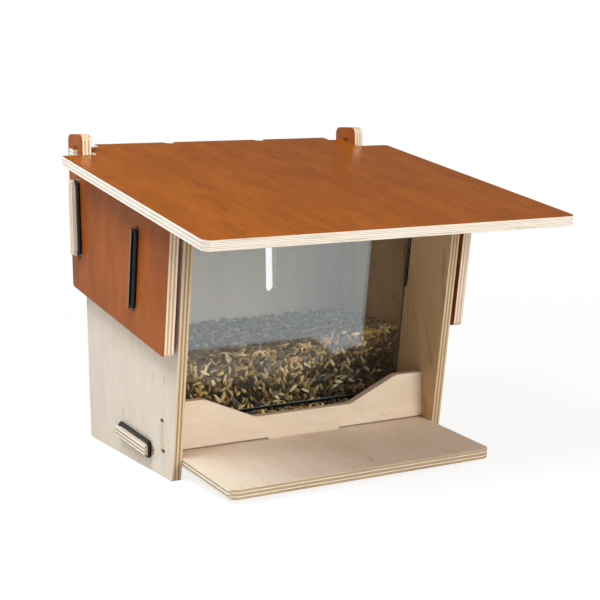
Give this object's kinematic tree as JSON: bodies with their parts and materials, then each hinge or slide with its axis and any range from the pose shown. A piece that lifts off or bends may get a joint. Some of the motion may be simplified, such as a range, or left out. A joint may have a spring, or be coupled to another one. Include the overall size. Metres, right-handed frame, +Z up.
{
  "type": "bird feeder",
  "caption": "Plug-together plywood bird feeder with a hinged sloping roof lid, a clear leaning window over a seed hopper, and a landing board behind a dipped lip.",
  "frame": {"origin": "middle of the box's footprint, on the plane that the side walls stand on", "axes": "+Z up, -Y towards the landing board, +X to the right seen from the front"},
  "size_m": [0.257, 0.252, 0.2153],
  "materials": {
    "birch_ply": "sanded, unfinished",
    "stained_ply": "stained and satin varnished faces, natural edges",
    "clear_acrylic": "clear, polished",
    "black_rubber": "matte",
    "seed": "mixed dry seed"
  },
  "bodies": {
    "housing": {"side_wall_left": "birch_ply", "side_wall_right": "birch_ply", "cheek_left": "stained_ply", "cheek_right": "stained_ply", "back_panel": "birch_ply", "floor_board": "birch_ply", "front_lip": "birch_ply", "window_pane": "clear_acrylic", "seed_fill": "seed", "ring_back_outer_left": "black_rubber", "ring_back_outer_right": "black_rubber", "ring_back_inner_left": "black_rubber", "ring_back_inner_right": "black_rubber", "ring_window_outer_left": "black_rubber", "ring_window_outer_right": "black_rubber", "ring_window_inner_left": "black_rubber", "ring_window_inner_right": "black_rubber", "ring_floor_left": "black_rubber", "ring_floor_right": "black_rubber"},
    "lid": {"roof_lid": "stained_ply"}
  },
  "joints": [
    {"name": "lid_hinge", "type": "hinge", "parent": "housing", "child": "lid", "pos_m": [0, 0.1125, 0.20232], "axis": [-1, 0, 0], "range_deg": [0, 100]}
  ]
}
